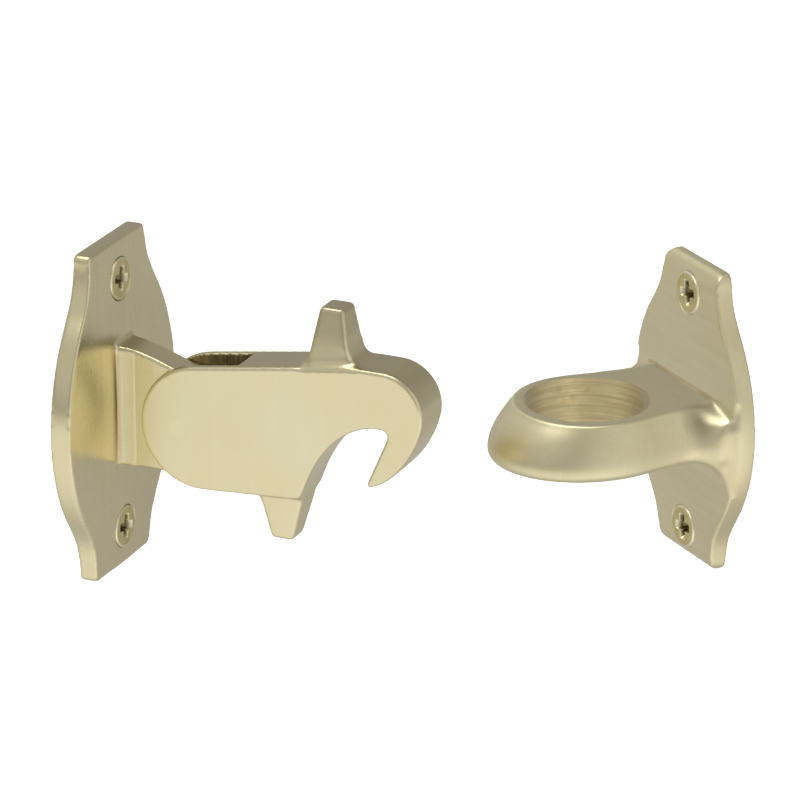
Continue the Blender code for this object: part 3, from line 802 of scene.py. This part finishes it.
def keeper(mats):
    """mats: the casting's brass, then the turned bore and the plate's front."""
    body = keeper_casting()
    relaxed(body, FLARE_ROUNDS, flare_blends)
    relaxed(body, CASTING_ROUNDS)
    hole = turned("hole", [(0, 20), (HOLE_R, 20), (HOLE_R, -20), (0, -20)], 192,
                  Matrix.Translation((RING_X, 0, 0)))
    combine(body, ("DIFFERENCE", hole))
    seat_screws(body, KEEPER)
    obj = finished(body, "leaf_keeper", "keeper", mats, KEEPER_PLACE)

    def in_hole(c):
        return np.hypot(c[:, 0] - RING_X * MM, c[:, 1]) < (HOLE_R + 0.03) * MM
    assign(obj, 1, lambda c, n: in_hole(c) & (np.abs(n[:, 2]) < 0.5))
    assign(obj, 2, lambda c, n: (c[:, 0] > 2.5 * MM) & (c[:, 0] < (KEEPER_FACE + 0.4) * MM)
           & (n[:, 0] > 0.75) & ~in_hole(c))
    obj.visible_glossy = False
    return obj


def recess_wing(angle):
    """One drafted bar of the cross recess, square ended with rounded corners."""
    half, side = RECESS_SPAN / 2, RECESS_WIDTH / 2
    levels = []
    for z, grow in ((0.6, 0.10), (0.10, 0.05), (-0.15, -0.10), (-1.2, -0.55), (-2.1, -1.30)):
        end, wide = half + grow, side + 0.30 * grow
        soft = 0.45 * wide
        rim = []
        for x, y, start in ((1, -1, -90.0), (1, 1, 0.0), (-1, 1, 90.0), (-1, -1, 180.0)):
            rim += arc(x * (end - soft), y * (wide - soft), soft, start, start + 90.0, 4)
        levels.append((z, rim))
    wing = loft("wing", levels)
    wing.data.transform(Matrix.Rotation(radians(angle), 4, "Z"))
    return wing


def screw_profile():
    """Half section of a flat-head screw from the head's middle down to the point."""
    head, shank = HEAD_D / 2, SHANK_D / 2
    neck = -HEAD_RIM - HEAD_H
    profile = [(0.0, HEAD_PROUD), (head - 0.45, HEAD_PROUD), (head - 0.16, 0.17), (head - 0.04, 0.04),
               (head, -0.15), (head, -HEAD_RIM), (shank, neck)]
    for crest in THREAD_CRESTS:
        profile += [(shank, crest), (shank - 0.15, crest - 0.2),
                    (ROOT_R, crest - 0.6), (ROOT_R, crest - 1.2)]
    return profile + [(1.1, -8.9), (0.0, SCREW_END)]


def screw(node, body, size, side, turn, base, mats):
    """Flat-head screw, axis on local Z; the rounded head stands a little proud of height 0."""
    z = side * size["screw_z"]
    piece = turned(node + "_cut", screw_profile(), 96)
    combine(piece, ("DIFFERENCE", recess_wing(0.0)), ("DIFFERENCE", recess_wing(90.0)))
    well = turned("well", [(0, 0.8), (1.15, 0.8), (1.05, -1.2), (0.75, -2.3), (0.0, -1.5)], 24)
    combine(piece, ("DIFFERENCE", well))
    remeshed(piece, SCREW_VOXEL)
    relaxed(piece, 2)
    place = base @ Matrix.Translation(Vector((face_height(size, 0.0, z), 0.0, z)) * MM)
    place = place @ Matrix.Rotation(radians(90), 4, "Y") @ Matrix.Rotation(radians(turn), 4, "Z")
    return finished(piece, body, node, mats, place)


# ---------------------------------------------------------------- camera, light, floor

def camera():
    """Long lens in front of the wall, to one side of the hook and looking down on it."""
    data = bpy.data.cameras.new("camera")
    data.lens = LENS
    data.sensor_width = 36.0
    data.clip_end = 20.0
    cam = new_object("camera", data)
    a, b = radians(CAMERA_TURN), radians(CAMERA_PITCH)
    look = Vector((-sin(a) * cos(b), cos(a) * cos(b), -sin(b)))
    cam.location = CAMERA_AT
    cam.rotation_euler = look.to_track_quat("-Z", "Y").to_euler()
    bpy.context.scene.camera = cam


# Soft patches of studio light: direction they come from, half width in degrees, brightness added
# (a patch with less than none is a dark card)
HORIZON = (-0.22, -0.06)      # below the first the lower light holds, above the second the upper
LOWER_LIGHT = 0.55
LOWER_PATCHES = (
    ((0.0, -0.93, -0.35), 60.0, 0.42),
    ((0.91, -0.21, -0.35), 36.0, 0.34),
    ((-0.91, 0.21, -0.35), 32.0, 0.04),
    ((0.37, 0.86, -0.40), 14.0, -0.08),
)
UPPER_LIGHT = 0.37
UPPER_PATCHES = (
    ((-0.15, -0.21, 0.97), 18.0, 3.00),
    ((0.93, -0.25, 0.15), 42.0, 0.38),
    ((-0.91, 0.21, 0.35), 34.0, 0.28),
    ((-0.34, -0.84, 0.42), 25.0, 0.28),
    ((-0.28, -0.50, 0.82), 10.5, 1.80),
    ((-0.37, 0.86, 0.35), 28.0, 0.09),
)


def patches(g, where, base, table):
    """Sum of a base light and smooth round patches, as a socket."""
    total = base
    for direction, width, power in table:
        dot = g.node("ShaderNodeVectorMath", {0: where, 1: Vector(direction).normalized()},
                     operation="DOT_PRODUCT")
        fall = g.remap(dot.outputs["Value"], 0.0, power, cos(radians(width * 1.35)),
                       cos(radians(width * 0.5)), "SMOOTHERSTEP")
        total = g.math("ADD", fall, total)
    return total


def studio():
    """Soft studio light: a bright sweep below the horizon, a dimmer room with a soft box above."""
    world = bpy.data.worlds.new("studio")
    bpy.context.scene.world = world
    g = Graph(world)
    g.tree.nodes.clear()
    where = g.node("ShaderNodeTexCoord").outputs["Generated"]
    lower = patches(g, where, LOWER_LIGHT, LOWER_PATCHES)
    upper = patches(g, where, UPPER_LIGHT, UPPER_PATCHES)
    side = g.remap(g.split(where, "Z"), 0.0, 1.0, *HORIZON, "SMOOTHSTEP")
    power = g.node("ShaderNodeMix", {0: side, 2: lower, 3: upper}).outputs[0]
    glow = g.node("ShaderNodeBackground", {"Strength": power, "Color": (1.0, 0.995, 0.985, 1.0)})
    g.node("ShaderNodeOutputWorld", {"Surface": glow.outputs[0]})


def floor():
    """Pale, faintly glowing sheet below the object, kept out of the brass's reflections."""
    bm = bmesh.new()
    bmesh.ops.create_grid(bm, x_segments=8, y_segments=8, size=6.0)
    slab = from_bmesh("floor", bm)
    slab.location.z = FLOOR_Z
    g = Graph(bpy.data.materials.new("pale_floor"))
    g.shader.inputs["Base Color"].default_value = (0.93, 0.93, 0.93, 1.0)
    g.shader.inputs["Roughness"].default_value = 0.9
    g.shader.inputs["Emission Color"].default_value = (1.0, 1.0, 1.0, 1.0)
    g.shader.inputs["Emission Strength"].default_value = 0.62
    slab.data.materials.append(g.owner)
    slab.visible_glossy = False


# ---------------------------------------------------------------- the whole scene

def build_pieces():
    """Makes the materials and every piece."""
    tongue_seam = ((WALL_FACE, TONGUE_ROOT_HALF, None), 1.0, 12.5)
    neck_seam = ((KEEPER_FACE, None, RING_TOP), 0.8, 14.0)

    front = satin_brass("brass_plate", BRASS, 0.27, (1500.0, 2400.0, 45.0), streak=0.30,
                        seam=tongue_seam, cloud=0.4)
    # Painted shade on the upward faces of the plate's edges and of the tongue
    edge = satin_brass("brass_plate_edge", BRASS, 0.27, (1500.0, 60.0, 45.0), streak=0.36,
                       seam=tongue_seam, cloud=0.4, top_shade=(0.6, 60.0))
    wall_plate([front, edge])

    # Painted shade on the arm's upward faces and on the horn's upper part
    arm = satin_brass("brass_arm", BRASS, 0.28, (1900.0, 1500.0, 25.0), streak=0.12, cloud=0.1,
                      top_shade=(0.85, 22.0))
    hook_arm([arm, ground_slot("milled_slot")])
    pivot_pin([satin_brass("brass_pin", PIN_BRASS, 0.28, (900.0, 900.0, 900.0), streak=0.1, cloud=0.1)])

    # Painted shade round (8.8, ±14.6, 3.8) mm, where the neck's flanks run into the plate
    ring = satin_brass("brass_keeper", BRASS, 0.38, (2200.0, 2200.0, 60.0), streak=0.5,
                       seam=neck_seam, stain_and_shade=((8.8, 14.6, 3.8), 4.3))
    face = satin_brass("brass_keeper_face", BRASS, 0.38, (2200.0, 65.0, 2400.0), streak=0.55,
                       seam=neck_seam, grain=(0.77, -0.64, 0.10))
    # The bore's brass is darkened as painted shade inside the hole
    keeper([ring, machined_bore("turned_bore", SHADED_BORE_BRASS, 0.30), face])

    for i, row in enumerate(SCREWS):
        screw(*row, [screw_brass("brass_screw_%d" % i, SCREW_BRASS, 0.30, 0.1 * i)])


def main():
    """Builds the scene."""
    bpy.context.scene.view_settings.view_transform = "Standard"
    camera()
    studio()
    floor()
    build_pieces()


main()
